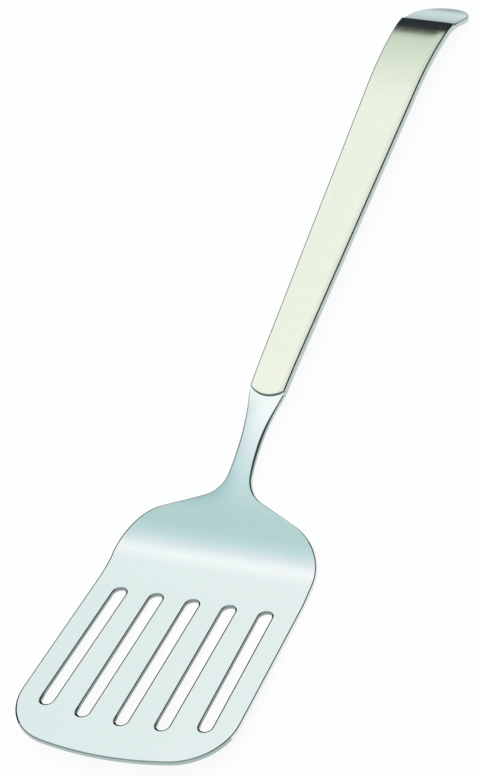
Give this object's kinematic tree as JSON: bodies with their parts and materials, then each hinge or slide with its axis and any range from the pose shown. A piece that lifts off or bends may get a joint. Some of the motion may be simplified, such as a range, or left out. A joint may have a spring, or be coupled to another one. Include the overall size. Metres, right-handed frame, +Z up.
{
  "type": "slotted turner",
  "caption": "Steel kitchen turner: wide flat blade with fanned drain slots and rounded tip, raised shoulder, narrow neck and long tapering handle with a satin grip plate and a turned-down end.",
  "frame": {"origin": "on the table under the middle of the whole turner, which lies at rest on the heel under its blade and on the turned-down end of its handle", "axes": "+X across the blade, to the right as seen from above with the handle pointing away; +Y from the blade's tip to the handle's end; +Z up, out of the blade's food side"},
  "size_m": [0.089, 0.3575, 0.0229],
  "materials": {
    "polished_steel": "polished stainless steel",
    "satin_steel": "fine satin",
    "weld_metal": "ground weld"
  },
  "bodies": {
    "root": {"blade": "polished_steel", "handle_bar": "polished_steel", "grip_plate": "satin_steel", "tongue_weld": "weld_metal", "plate_spot_welds": "weld_metal"}
  },
  "joints": []
}
